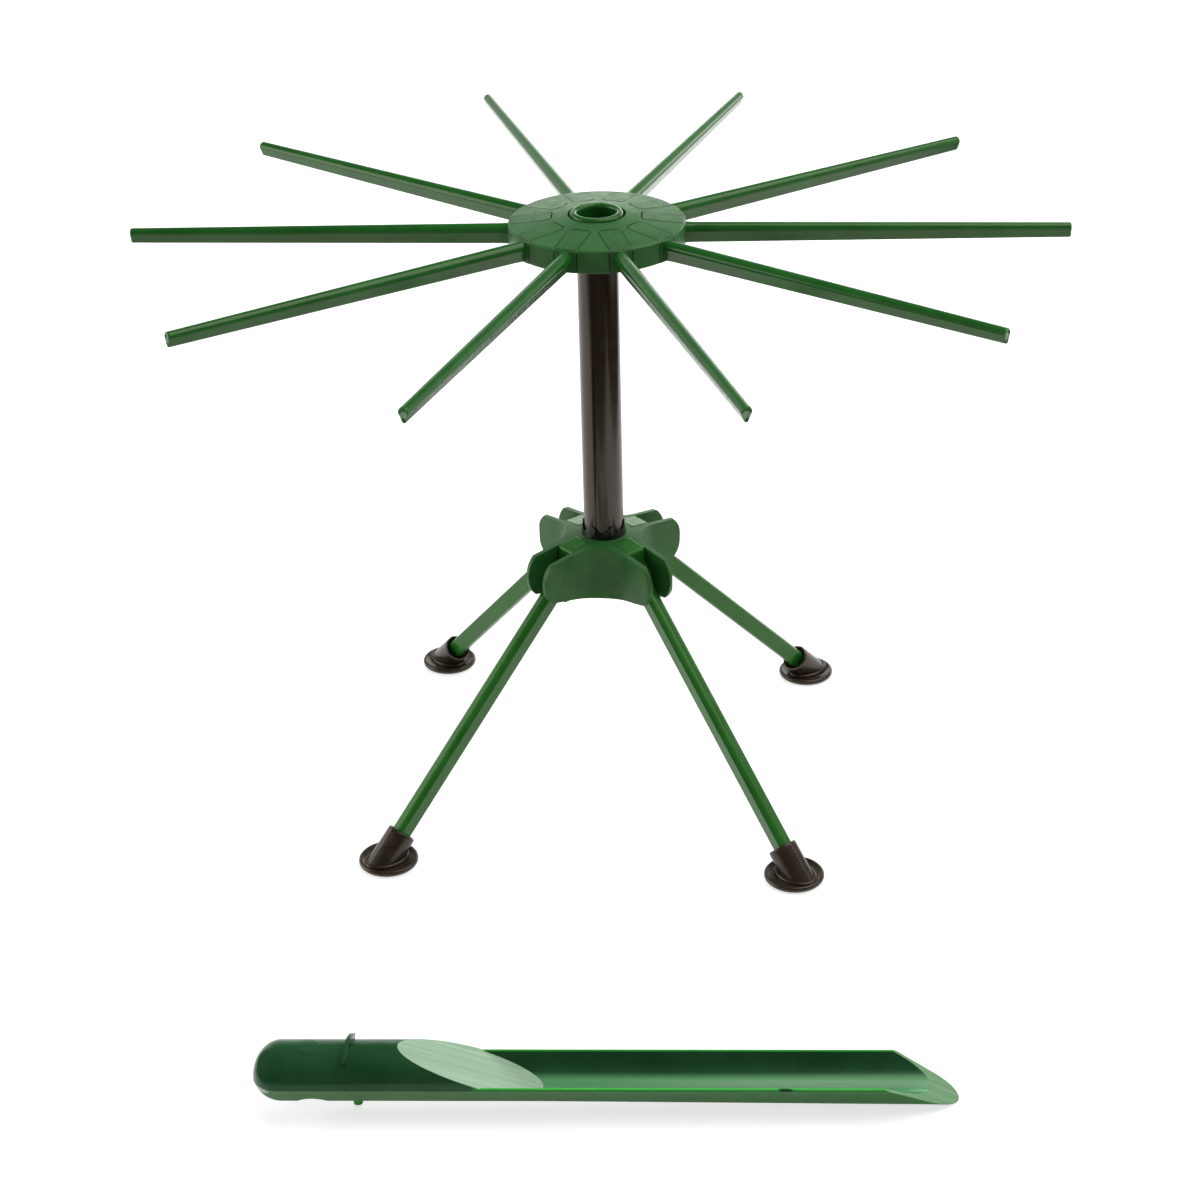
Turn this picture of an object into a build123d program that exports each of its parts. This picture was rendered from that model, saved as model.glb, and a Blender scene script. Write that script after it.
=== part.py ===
from build123d import *
import math
import os

os.makedirs("parts", exist_ok=True)

# A pasta drying rack with folding arms and legs, and the wand that carries the pasta to it.
# Lengths are in millimetres and angles in degrees. The origin is on the table, on the
# column's axis. The arms fold up about pins in the hub, and the legs fold in about pins
# in the base.

# Clearances
run_gap = 0.05
press_gap = 0.01
side_gap = 0.2
end_gap = 0.3
overrun = 5.0

# Hub, a shallow crowned disc with a slot for each arm
arm_count = 10
arm_turn = 3.3
hub_r = 41.5
hub_low_z = 286.0
hub_rim_h = 11.0
crown_slope = 0.12
rim_round = 0.6
slot_w = 11.0
slot_corner = 1.8
hub_slot_r = 20.7

# Arms, a tapering bar with a round back, two flat sides and a narrow lower edge
arm_reach = 220.0
arm_rise = 4.9
root_w = 6.9
root_h = 9.8
tip_w = 5.1
tip_h = 7.1
arm_edge_r = 0.9
flare_len = 4.0
flare_grow = 1.0
block_bevel = 0.9
tip_round = 0.8
dish_wall = 1.1
dish_depth = 0.5
arm_barrel_r = 3.4
arm_pin_drop = 1.1
arm_pin_r = 0.6
arm_pin_len = 13.6

# Ring at the top of the column, on which the hub turns
ring_hole_r = 9.05
ring_lip_r = 12.6
ring_lip_h = 7.4
ring_stand = 1.4
ring_wall = 2.0
groove_w = 1.0
groove_depth = 3.2
lip_gap = 0.4

# Collar and washer that carry the hub
seat_r = 15.0
seat_h = 3.0
seat_inset = 0.6
seat_room = 0.6
washer_h = 0.5

# Column, with the plug and screw that hold it down
column_r = 9.85
column_wall = 1.6
plug_h = 14.0
plug_step = 0.5
screw_r = 2.0
screw_len = 14.0
screw_head_r = 3.8
screw_head_h = 2.3
screw_recess_slot = 1.0
screw_washer_r = 5.2
screw_washer_h = 0.8
screw_hole_r = 2.3

# Base, a star with two cheeks round each leg
leg_count = 4
leg_turn = 45.0
base_drop = 37.8
base_h = 27.9
base_flat_r = 19.0
belly_slope = 0.19
cheek_half = 8.0
scoop_r = 18.5
nose_r = 14.3
nose_x = 29.8
nose_rise = 14.0
cheek_round = 2.3
base_slot_r = 13.3
socket_floor = 5.8

# Collar round the column's foot, with a waved upper edge
collar_grow = 1.2
collar_stand = 7.1
collar_top_wall = 0.5
wave_count = 6
wave_h = 4.4
wave_steps = 8

# Legs, with a shallow crown, two flat sides that draw in and a rounded lower face
leg_splay = 45.0
leg_top_w = 7.5
leg_low_w = 4.9
leg_h = 9.1
leg_rise = 4.75
leg_crown = 1.3
leg_belly = 0.6
leg_barrel_r = 3.4
leg_pin_r = 1.25
leg_pin_len = 14.6
leg_block_r = 25.0
leg_shoulder = 5.0

# Rubber feet, a disc on the table with a sleeve that the leg's end is pressed into
foot_reach = 140.3
foot_shift = 3.2
foot_disc_r = 14.5
foot_disc_h = 3.0
foot_edge = 0.9
foot_under_w = 3.2
foot_under_h = 1.9
foot_step_w = 0.9
foot_step_h = 0.6
sleeve_r = 7.2
sleeve_len = 17.2
sleeve_edge = 0.7
sleeve_bore_r = 5.15
mouth_r = 6.0
mouth_depth = 1.4
leg_end = 7.6

# Wand, a trough with a handle of the same section, a cap and two small lugs
wand_w = 27.0
wand_depth = 14.3
wand_edge_r = 6.0
wand_cap_len = 40.3
wand_handle_len = 21.2
wand_ramp_len = 61.2
wand_trough_len = 146.4
wand_tip_len = 30.1
tip_skew_share = 0.22
tip_edge_r = 12.0
wand_x = -124.3
wand_y = -274.0
wand_yaw = 4.7
trough_r = 13.0
trough_floor = 8.0
rim_rise = 1.1
dome_len = 11.5
dome_drop = 1.5
dome_end_share = 0.34
dome_steps = 6
spigot_r = 9.5
spigot_len = 8.0
cap_wall = 2.2
lug_h = 2.5
lug_w = 1.9
lug_x = 0.2
lug_turn = 7.0
lug_half_angle = 40.0
nub_w = 4.0
nub_in = 3.0
pad_r = 5.0
pad_h = 0.25
pad_from_end = 23.3
dent_len = 15.0
dent_depth = 4.5
dent_from_end = 24.3

# Places worked out from those sizes. The base hangs where the legs' axes carry it.
leg_sin = math.sin(math.radians(leg_splay))
leg_cos = math.cos(math.radians(leg_splay))
foot_z = foot_disc_h / 2
axis_foot_r = foot_reach + foot_shift
base_low_z = foot_z + axis_foot_r * leg_sin / leg_cos - base_drop
hub_rim_z = hub_low_z + hub_rim_h
ring_out_r = column_r + ring_wall
groove_r = ring_lip_r + groove_w
crown_z = hub_rim_z + (hub_r - groove_r) * crown_slope
ring_top_z = crown_z + ring_stand
ring_low_z = hub_low_z + seat_inset + seat_h
shoulder_z = ring_low_z + washer_h + run_gap
column_low_z = base_low_z + socket_floor + end_gap
plug_seat_r = column_r - column_wall + plug_step
column_top_z = ring_top_z - ring_lip_h
base_top_z = base_low_z + base_h
collar_r = column_r + collar_grow


def hub_top(r):
    return hub_rim_z + (hub_r - r) * crown_slope


def base_top(r):
    return base_top_z - (r - collar_r) * crown_slope


def spin(part, index, count, turn):
    return Rot(0, 0, turn + 360 / count * index) * part


def group(parts):
    return Compound(children=list(parts))


def across(radius, length, x, z):
    return Pos(x, 0, z) * Rot(90, 0, 0) * Cylinder(radius, length)


def side_face(*edges):
    return Plane.XZ * make_face(list(edges))


def chain(*points):
    return [Line(a, b) for a, b in zip(points, points[1:])]


def ring_solid(inner_r, outer_r, low_z, high_z):
    body = Cylinder(outer_r, high_z - low_z, align=(Align.CENTER, Align.CENTER, Align.MIN))
    hole = Cylinder(inner_r, 2 * (high_z - low_z + overrun))
    return Pos(0, 0, low_z) * (body - hole)


# The section shared by the arms, the legs and the wand. Its origin is the centre of the
# round back, where the two flat sides begin.
def drop_face(width, depth, edge_r):
    back_r = width / 2
    centre_y = edge_r - depth
    reach = math.hypot(back_r, centre_y)
    lean = math.atan2(-centre_y, back_r) - math.acos(edge_r / reach)
    side_x = edge_r * math.cos(lean)
    side_y = centre_y + edge_r * math.sin(lean)
    back = ThreePointArc((back_r, 0), (0, back_r), (-back_r, 0))
    left = Line((-back_r, 0), (-side_x, side_y))
    edge = ThreePointArc((-side_x, side_y), (0, -depth), (side_x, side_y))
    right = Line((side_x, side_y), (back_r, 0))
    return make_face([back, left, edge, right])


def bar_plane(x, z, run_x=1.0, run_z=0.0):
    return Plane(origin=(x, 0, z), x_dir=(0, 1, 0), z_dir=(run_x, 0, run_z))


# A section of a bar whose middle height is at z
def bar_section(x, z, width, height, edge_r):
    return bar_plane(x, z + height / 2 - width / 2) * drop_face(width, height - width / 2, edge_r)


# The outline of a slot seen from above, from its inner end outwards
def slot_prism(inner_r, outer_r, width, corner, low_z, high_z):
    half = width / 2
    points = [
        (inner_r, half - corner),
        (inner_r + corner, half),
        (outer_r, half),
        (outer_r, -half),
        (inner_r + corner, -half),
        (inner_r, corner - half),
    ]
    outline = make_face(Polyline(*points, close=True))
    return Pos(0, 0, low_z) * extrude(outline, high_z - low_z)


# Hub
def make_hub():
    bore_r = ring_out_r + run_gap
    room_r = seat_r + seat_room
    outline = chain(
        (bore_r, shoulder_z),
        (room_r, shoulder_z),
        (room_r, hub_low_z),
        (hub_r - rim_round, hub_low_z),
        (hub_r, hub_low_z + rim_round),
        (hub_r, hub_rim_z - rim_round),
        (hub_r - rim_round, hub_top(hub_r - rim_round)),
        (groove_r, crown_z),
        (groove_r, crown_z - groove_depth),
        (bore_r, crown_z - groove_depth),
        (bore_r, shoulder_z),
    )
    body = revolve(side_face(*outline), Axis.Z)
    slot = slot_prism(hub_slot_r, hub_r + overrun, slot_w, slot_corner, hub_low_z - overrun, crown_z + overrun)
    pin_hole = across(arm_pin_r + press_gap, arm_pin_len + 2 * press_gap, arm_hinge_x, arm_hinge_z)
    for index in range(arm_count):
        body -= spin(slot, index, arm_count, arm_turn)
        body -= spin(pin_hole, index, arm_count, arm_turn)
    return body


# An arm's hinge lies close under the hub's top and close to the slot's inner end, so that
# the block turns up inside the slot and bears on the slot's end when the arm is level.
crown_lean = math.atan(crown_slope)
arm_block_r = hub_slot_r + end_gap
arm_hinge_x = arm_block_r + arm_barrel_r
arm_hinge_z = hub_top(arm_hinge_x) - arm_pin_drop / math.cos(crown_lean)


def barrel_point(angle):
    return (arm_hinge_x + arm_barrel_r * math.cos(angle), arm_hinge_z + arm_barrel_r * math.sin(angle))


def make_arm():
    touch_angle = math.pi - math.asin(arm_pin_drop / arm_barrel_r) - crown_lean
    touch = barrel_point(touch_angle)
    middle = barrel_point((touch_angle + math.pi) / 2)
    inner = (arm_hinge_x - arm_barrel_r, arm_hinge_z)
    low_z = hub_low_z + side_gap
    edges = chain(
        inner,
        (arm_block_r, low_z),
        (hub_r, low_z),
        (hub_r, hub_rim_z - block_bevel),
        (hub_r - block_bevel, hub_top(hub_r - block_bevel)),
        touch,
    )
    block = extrude(side_face(*edges, ThreePointArc(touch, middle, inner)), slot_w / 2 - side_gap, both=True)
    block &= slot_prism(arm_block_r, hub_r + overrun, slot_w - 2 * side_gap, slot_corner,
                        hub_low_z - overrun, crown_z + overrun)
    block &= Pos(0, 0, hub_rim_z) * Cylinder(hub_r, 4 * hub_rim_h)

    mid_z = hub_low_z + arm_rise
    start_x = hub_r - block_bevel
    tip_x = arm_reach - tip_round
    sections = [
        bar_section(start_x, mid_z, root_w + flare_grow, root_h + flare_grow / 2, arm_edge_r),
        bar_section(hub_r + flare_len, mid_z, root_w, root_h, arm_edge_r),
        bar_section(tip_x, mid_z, tip_w, tip_h, arm_edge_r),
    ]
    bar = loft(sections, ruled=True)
    half_round = tip_round / 2
    end_sections = [
        bar_section(tip_x, mid_z, tip_w, tip_h, arm_edge_r),
        bar_section(arm_reach - half_round / 2, mid_z, tip_w - half_round, tip_h - half_round,
                    arm_edge_r - half_round / 2),
        bar_section(arm_reach, mid_z, tip_w - 2 * tip_round, tip_h - 2 * tip_round,
                    arm_edge_r - half_round),
    ]
    bar += loft(end_sections, ruled=True)
    dish = bar_section(arm_reach - dish_depth, mid_z, tip_w - 2 * dish_wall, tip_h - 2 * dish_wall,
                       arm_edge_r - half_round)
    bar -= extrude(dish, dish_depth + overrun, dir=(1, 0, 0))
    bore = across(arm_pin_r + run_gap, slot_w + overrun, arm_hinge_x, arm_hinge_z)
    return block + bar - bore


def make_arm_pins():
    pin = across(arm_pin_r, arm_pin_len, arm_hinge_x, arm_hinge_z)
    return group(spin(pin, index, arm_count, arm_turn) for index in range(arm_count))


# Ring, collar and washer at the column's top
def make_ring():
    lip_side_z = ring_top_z - (ring_lip_r - ring_hole_r) / 2
    lip_low_z = crown_z - groove_depth + lip_gap
    mid_r = (ring_hole_r + ring_lip_r) / 2
    edges = chain(
        (ring_lip_r, lip_side_z),
        (ring_lip_r, lip_low_z),
        (ring_out_r, lip_low_z),
        (ring_out_r, ring_low_z),
        (column_r + press_gap, ring_low_z),
        (column_r + press_gap, column_top_z),
        (ring_hole_r, column_top_z),
        (ring_hole_r, lip_side_z),
    )
    lip = ThreePointArc((ring_hole_r, lip_side_z), (mid_r, ring_top_z), (ring_lip_r, lip_side_z))
    return revolve(side_face(*edges, lip), Axis.Z)


def make_hub_seat():
    return ring_solid(column_r + press_gap, seat_r, ring_low_z - seat_h, ring_low_z)


def make_hub_washer():
    return ring_solid(ring_out_r + side_gap, seat_r, ring_low_z, ring_low_z + washer_h)


# Column, plug, screw and washer
def make_column():
    tube = ring_solid(column_r - column_wall, column_r, column_low_z, column_top_z)
    return tube - Pos(0, 0, column_low_z) * Cylinder(plug_seat_r, 2 * plug_h)


def make_column_plug():
    return ring_solid(screw_r + press_gap, plug_seat_r - press_gap, column_low_z, column_low_z + plug_h)


def make_column_washer():
    low_z = screw_head_z + screw_head_h
    return ring_solid(screw_hole_r, screw_washer_r, low_z, low_z + screw_washer_h)


screw_head_z = base_low_z + end_gap


def make_column_screw():
    start = (Align.CENTER, Align.CENTER, Align.MIN)
    head = Pos(0, 0, screw_head_z) * Cylinder(screw_head_r, screw_head_h, align=start)
    shank = Pos(0, 0, screw_head_z) * Cylinder(screw_r, screw_head_h + screw_len, align=start)
    groove = Box(screw_recess_slot, 2 * screw_head_r - screw_recess_slot, screw_head_h)
    cross = groove + Rot(0, 0, 90) * groove
    return head + shank - Pos(0, 0, screw_head_z) * cross


# Base
def make_base():
    scoop_at = cheek_half + scoop_r
    star_r = nose_x + nose_r
    square = Rectangle(2 * scoop_at, 2 * scoop_at)
    cross = Rectangle(2 * star_r, 2 * cheek_half) + Rectangle(2 * cheek_half, 2 * star_r)
    corners = [v for v in cross.vertices() if max(abs(v.X), abs(v.Y)) > scoop_at]
    star = fillet(corners, cheek_round) + square
    for x in (-scoop_at, scoop_at):
        for y in (-scoop_at, scoop_at):
            star -= Pos(x, y) * Circle(scoop_r)
    prism = Pos(0, 0, base_low_z - overrun) * extrude(star, base_h + 2 * overrun)

    far_r = star_r + overrun
    shell = chain(
        (0, base_low_z),
        (base_flat_r, base_low_z),
        (far_r, base_low_z + (far_r - base_flat_r) * belly_slope),
        (far_r, base_top(far_r)),
        (0, base_top(0)),
        (0, base_low_z),
    )
    core = Pos(nose_x / 2, base_low_z + nose_rise) * Rectangle(nose_x, 2 * base_h)
    nose = core + Pos(nose_x, base_low_z + nose_rise) * Circle(nose_r)
    body = prism & revolve(side_face(*shell), Axis.Z) & revolve(Plane.XZ * nose, Axis.Z)

    socket_z = base_low_z + socket_floor
    body -= Pos(0, 0, socket_z) * Cylinder(
        collar_r + press_gap, base_h + overrun, align=(Align.CENTER, Align.CENTER, Align.MIN))
    recess_z = screw_head_z + screw_head_h + screw_washer_h
    body -= Pos(0, 0, recess_z) * Cylinder(
        screw_washer_r + side_gap, base_h, align=(Align.CENTER, Align.CENTER, Align.MAX))
    body -= Pos(0, 0, socket_z) * Cylinder(screw_hole_r, 2 * base_h)
    slot = slot_prism(base_slot_r, far_r, slot_w, end_gap, base_low_z - overrun, base_top_z + overrun)
    pin_hole = across(leg_pin_r + press_gap, leg_pin_len + 2 * press_gap, leg_hinge_x, leg_hinge_z)
    for index in range(leg_count):
        body -= spin(slot, index, leg_count, 0)
        body -= spin(pin_hole, index, leg_count, 0)
    return Rot(0, 0, leg_turn) * body


# The collar's waves are cut by one shape for each wave, a cosine drawn across the collar
def make_collar():
    low_z = base_low_z + socket_floor
    high_z = base_top_z + collar_stand
    top_r = column_r + collar_top_wall
    inner_r = column_r + press_gap
    outline = chain(
        (inner_r, low_z),
        (collar_r, low_z),
        (collar_r, base_top_z),
        (top_r, high_z),
        (inner_r, high_z),
        (inner_r, low_z),
    )
    body = revolve(side_face(*outline), Axis.Z)
    half_pitch = top_r * math.tan(math.pi / wave_count)
    points = []
    for step in range(wave_steps + 1):
        share = 2 * step / wave_steps - 1
        points.append((share * half_pitch, high_z - wave_h / 2 * (1 + math.cos(math.pi * share))))
    roof_z = high_z + overrun
    wave = make_face([Spline(*points)] + chain(
        points[-1], (half_pitch, roof_z), (-half_pitch, roof_z), points[0]))
    plane = Plane(origin=(column_r / 2, 0, 0), x_dir=(0, 1, 0), z_dir=(1, 0, 0))
    cutter = extrude(plane * wave, column_r, dir=(1, 0, 0))
    for index in range(wave_count):
        body -= spin(cutter, index, wave_count, -90)
    return body


# A leg's hinge lies low in its block, so that the block's upper end bears on the slot's
# end when the leg is spread, and the leg folds in under the base.
leg_block_in = base_slot_r + end_gap
leg_hinge_x = leg_block_in + leg_barrel_r
leg_hinge_z = base_low_z + end_gap + leg_barrel_r


# A point on the leg's axis, at a distance from the foot's disc and across the axis
def leg_point(along, off=0):
    return (axis_foot_r - along * leg_cos + off * leg_sin,
            foot_z + along * leg_sin + off * leg_cos)


# A height on a line parallel to the leg's axis, at a radius
def leg_line_z(r, off):
    line_r, line_z = leg_point(0, off)
    return line_z + (line_r - r) * leg_sin / leg_cos


# The leg's section, with its origin on the leg's axis and its crown outwards
def leg_face():
    top = leg_rise
    low = leg_rise - leg_h
    half_top = leg_top_w / 2
    half_low = leg_low_w / 2
    crown = ThreePointArc((half_top, top - leg_crown), (0, top), (-half_top, top - leg_crown))
    left = Line((-half_top, top - leg_crown), (-half_low, low + leg_belly))
    belly = ThreePointArc((-half_low, low + leg_belly), (0, low), (half_low, low + leg_belly))
    right = Line((half_low, low + leg_belly), (half_top, top - leg_crown))
    return make_face([crown, left, belly, right])


def make_leg():
    shoulder_r = leg_block_r + leg_shoulder
    low_z = leg_hinge_z - leg_barrel_r
    inner = (leg_block_in, leg_hinge_z)
    under = (leg_hinge_x, low_z)
    diag = leg_barrel_r * math.sqrt(0.5)
    middle = (leg_hinge_x - diag, leg_hinge_z - diag)
    edges = chain(
        under,
        (shoulder_r, low_z),
        (shoulder_r, leg_line_z(shoulder_r, leg_rise)),
        (leg_block_r, leg_line_z(leg_block_r, leg_rise)),
        (leg_block_r, base_top(leg_block_r) - block_bevel),
        (leg_block_r - block_bevel, base_top(leg_block_r - block_bevel)),
        (leg_block_in, base_top(leg_block_in)),
        inner,
    )
    block = extrude(side_face(*edges, ThreePointArc(inner, middle, under)), slot_w / 2 - side_gap, both=True)
    block &= slot_prism(leg_block_in, shoulder_r + overrun, slot_w - 2 * side_gap, end_gap,
                        base_low_z - overrun, base_top_z + overrun)
    top_along = (axis_foot_r - leg_block_r) / leg_cos
    end_x, end_z = leg_point(leg_end)
    end_plane = bar_plane(end_x, end_z, leg_cos, -leg_sin)
    bar = extrude(end_plane * leg_face(), top_along - leg_end, dir=(-leg_cos, 0, leg_sin))
    bore = across(leg_pin_r + run_gap, slot_w + overrun, leg_hinge_x, leg_hinge_z)
    return block + bar - bore


def make_leg_pins():
    pin = across(leg_pin_r, leg_pin_len, leg_hinge_x, leg_hinge_z)
    return group(spin(pin, index, leg_count, leg_turn) for index in range(leg_count))


# A foot is a disc on the table with a sleeve along the leg, and a low step where they meet.
def make_foot():
    from_low = (Align.CENTER, Align.CENTER, Align.MIN)
    disc = Pos(foot_reach, 0, 0) * Cylinder(foot_disc_r, foot_disc_h, align=from_low)
    disc = chamfer(disc.edges().group_by(Axis.Z)[-1], foot_edge / 2, foot_edge)
    disc = chamfer(disc.edges().group_by(Axis.Z)[0], foot_under_h, foot_under_w)
    axis_x, axis_z = leg_point(0)
    plane = Plane(origin=(axis_x, 0, axis_z), x_dir=(0, 1, 0), z_dir=(-leg_cos, 0, leg_sin))
    sleeve = Pos(0, 0, -sleeve_r) * Cylinder(sleeve_r, sleeve_len + sleeve_r, align=from_low)
    sleeve = chamfer(sleeve.edges().group_by(Axis.Z)[-1], sleeve_edge / 2, sleeve_edge)
    step_r = sleeve_r + foot_step_w
    step = Pos(0, 0, -step_r) * Cylinder(step_r, sleeve_len + step_r, align=from_low)
    low_room = Pos(foot_reach, 0, foot_under_h) * Cylinder(
        2 * foot_disc_r, foot_disc_h - foot_under_h + foot_step_h, align=from_low)
    all_room = Pos(foot_reach, 0, foot_under_h) * Cylinder(2 * foot_disc_r, 2 * foot_disc_r, align=from_low)
    body = disc + ((plane * step) & low_room) + ((plane * sleeve) & all_room)
    bore_low = leg_end - end_gap
    body -= plane * Pos(0, 0, bore_low) * Cylinder(sleeve_bore_r, sleeve_len, align=from_low)
    return body - plane * Pos(0, 0, sleeve_len - mouth_depth) * Cylinder(mouth_r, sleeve_len, align=from_low)


# Wand, built along X with its seam at zero and its flat sides beginning at height zero
wand_seam = wand_cap_len + wand_x
ramp_end = wand_handle_len + wand_ramp_len
rim_end = ramp_end + wand_trough_len
tip_x = rim_end + wand_tip_len


def wand_section(x, grow=0.0, edge_r=wand_edge_r):
    return bar_plane(x, 0) * drop_face(wand_w + 2 * grow, wand_depth + grow, edge_r + grow)


# The room past the slanted cut that ends the trough, on one side of the wand's middle.
def past_tip(side):
    slope = wand_tip_len / (wand_depth + rim_rise)
    high_z = rim_rise + overrun
    low_z = -wand_depth - overrun
    room = side_face(*chain(
        (rim_end - slope * overrun, high_z),
        (tip_x + slope * overrun, low_z),
        (tip_x + 2 * wand_w, low_z),
        (tip_x + 2 * wand_w, high_z),
        (rim_end - slope * overrun, high_z),
    ))
    return extrude(room, wand_w, dir=(side * tip_skew_share, side, 0))


def make_wand_body():
    far_x = tip_x + wand_w
    body = extrude(wand_section(0), ramp_end, dir=(1, 0, 0))
    body += loft([wand_section(ramp_end), wand_section(far_x, 0, tip_edge_r)], ruled=True)
    back_r = wand_w / 2
    ramp_fall = (back_r + trough_floor) / wand_ramp_len
    high_x = wand_handle_len - overrun
    high_z = back_r + overrun * ramp_fall
    low_z = -trough_floor - overrun
    over_ramp = side_face(*chain(
        (high_x, high_z),
        (ramp_end + overrun / ramp_fall, low_z),
        (far_x, low_z),
        (far_x, 2 * wand_w),
        (high_x, 2 * wand_w),
        (high_x, high_z),
    ))
    over_ramp = extrude(over_ramp, wand_w, both=True)
    over_rims = Pos(0, 0, rim_rise) * Box(
        far_x, 2 * wand_w, 2 * wand_w, align=(Align.MIN, Align.CENTER, Align.MIN))
    trough = Pos(0, 0, trough_r - trough_floor) * Rot(0, 90, 0) * Cylinder(
        trough_r, far_x, align=(Align.CENTER, Align.CENTER, Align.MIN))
    body -= (over_rims + trough) & over_ramp
    body -= past_tip(1) + past_tip(-1)
    body += Pos(-spigot_len / 2, 0, 0) * Rot(0, 90, 0) * Cylinder(spigot_r, spigot_len)
    nub = Pos(nub_in, 0, lug_h - wand_depth) * Cylinder(
        nub_w / 2, 2 * lug_h, align=(Align.CENTER, Align.CENTER, Align.MAX))
    return body + nub


# The cap's end is a dome, drawn as the wand's section getting smaller in steps.
def make_cap_dome(start_x):
    last_angle = math.acos(dome_end_share)
    sections = []
    for step in range(dome_steps + 1):
        angle = last_angle * step / dome_steps
        share = math.cos(angle)
        x = start_x - dome_len * math.sin(angle) / math.sin(last_angle)
        drop = dome_drop * (1 - share) / (1 - dome_end_share)
        outline = drop_face(wand_w * share, wand_depth * share, wand_edge_r * share)
        sections.append(bar_plane(x, -drop) * outline)
    return loft(sections)


# A slanted lug stands over the seam. It is part of the cap and clears the body.
def make_cap_lug():
    lug = Pos(lug_x, 0, 0) * Rot(0, 0, -lug_turn) * Box(lug_w, 2 * wand_w, 2 * wand_w)
    lug &= extrude(wand_section(-wand_w, lug_h), 2 * wand_w, dir=(1, 0, 0))
    side = wand_w * math.sin(math.radians(lug_half_angle))
    top = wand_w * math.cos(math.radians(lug_half_angle))
    wedge = make_face(Polyline((0, 0), (-side, top), (0, 2 * top), (side, top), close=True))
    lug &= extrude(bar_plane(-wand_w, 0) * wedge, 2 * wand_w, dir=(1, 0, 0))
    lug -= extrude(wand_section(0, run_gap), wand_w, dir=(1, 0, 0))
    return lug - extrude(wand_section(-wand_cap_len), wand_cap_len, dir=(1, 0, 0))


def make_wand_cap():
    straight = wand_cap_len - dome_len
    body = extrude(wand_section(-straight), straight, dir=(1, 0, 0))
    body += make_cap_dome(-straight)
    body += make_cap_lug()
    pad = extrude(wand_section(-wand_cap_len, pad_h), wand_cap_len, dir=(1, 0, 0))
    body += pad & (Pos(pad_from_end - wand_cap_len, 0, 0) * Cylinder(
        pad_r, wand_w, align=(Align.CENTER, Align.CENTER, Align.MIN)))
    dent_r = (dent_len * dent_len / 4 + dent_depth * dent_depth) / (2 * dent_depth)
    body -= across(dent_r, 2 * wand_w, dent_from_end - wand_cap_len, dent_depth - wand_depth - dent_r)
    hollow_len = straight - cap_wall
    body -= Pos(-hollow_len / 2, 0, 0) * Rot(0, 90, 0) * Cylinder(spigot_r + run_gap, hollow_len)
    return body


# The wand lies in front of the rack and leans on its lower lug and its tip
def lay_wand(part):
    low_x = tip_x + tip_skew_share * (wand_w / 2 - tip_edge_r)
    lean = math.atan(lug_h / (low_x - nub_in - nub_w / 2))
    rest_z = (low_x + wand_seam) * math.sin(lean) + wand_depth * math.cos(lean)
    place = Pos(0, wand_y, rest_z) * Rot(0, 0, wand_yaw) * Rot(0, math.degrees(lean), 0)
    return place * Pos(wand_seam, 0, 0) * part


nodes = {
    "base": make_base(),
    "column_collar": make_collar(),
    "column": make_column(),
    "column_plug": make_column_plug(),
    "column_screw": make_column_screw(),
    "column_washer": make_column_washer(),
    "hub": make_hub(),
    "hub_ring": make_ring(),
    "hub_seat": make_hub_seat(),
    "hub_washer": make_hub_washer(),
    "arm_pins": make_arm_pins(),
    "leg_pins": make_leg_pins(),
    "wand_body": lay_wand(make_wand_body()),
    "wand_cap": lay_wand(make_wand_cap()),
}

arm = make_arm()
for index in range(arm_count):
    nodes[f"arm_{index + 1:02d}"] = spin(arm, index, arm_count, 180 + arm_turn)

leg = make_leg()
foot = make_foot()
corner_names = ["back_right", "back_left", "front_left", "front_right"]
for index, corner in enumerate(corner_names):
    nodes[f"leg_{corner}"] = spin(leg, index, leg_count, leg_turn)
    nodes[f"foot_{corner}"] = spin(foot, index, leg_count, leg_turn)

for name, part in nodes.items():
    export_step(part, f"parts/{name}.step")

print("arm hinge at radius", round(arm_hinge_x, 3), "height", round(arm_hinge_z, 3))
print("leg hinge at radius", round(leg_hinge_x, 3), "height", round(leg_hinge_z, 3))
print("column bore from", round(column_low_z + plug_h, 3), "to", round(column_top_z, 3))
print("column bore radius", round(column_r - column_wall, 3))
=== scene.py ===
# %% [markdown]
# # A pasta drying rack in moulded plastic
#
# The real object is a folding rack: ten arms spread from a turning hub on a dark tube, four
# splayed legs stand in rubber feet, and a long trough-shaped wand lies in front. The solid
# parts come from the engineering model, already in place and in metres. They could be drawn
# again here, but then two models would have to agree. So this lesson keeps them, gives them
# their plastics and rubber, adds the soft forms that moulding leaves, and sets up the light.

# %% Load the frame
import math

import bmesh
import bpy
from mathutils import Matrix, Vector


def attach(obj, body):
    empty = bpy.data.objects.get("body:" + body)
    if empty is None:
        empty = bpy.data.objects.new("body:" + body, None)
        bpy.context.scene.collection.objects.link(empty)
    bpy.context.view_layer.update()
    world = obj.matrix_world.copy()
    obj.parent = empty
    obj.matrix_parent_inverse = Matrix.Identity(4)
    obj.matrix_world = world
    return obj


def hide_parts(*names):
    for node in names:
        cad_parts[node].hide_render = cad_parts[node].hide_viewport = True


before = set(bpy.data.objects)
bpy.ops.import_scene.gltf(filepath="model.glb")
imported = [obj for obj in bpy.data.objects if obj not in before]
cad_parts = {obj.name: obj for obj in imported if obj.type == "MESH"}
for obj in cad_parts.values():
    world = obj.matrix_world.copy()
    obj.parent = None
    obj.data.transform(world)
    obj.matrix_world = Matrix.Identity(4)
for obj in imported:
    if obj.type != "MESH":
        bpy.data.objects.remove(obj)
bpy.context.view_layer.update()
MM = 0.001
scene = bpy.context.scene
scene.view_settings.view_transform = "Standard"

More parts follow.
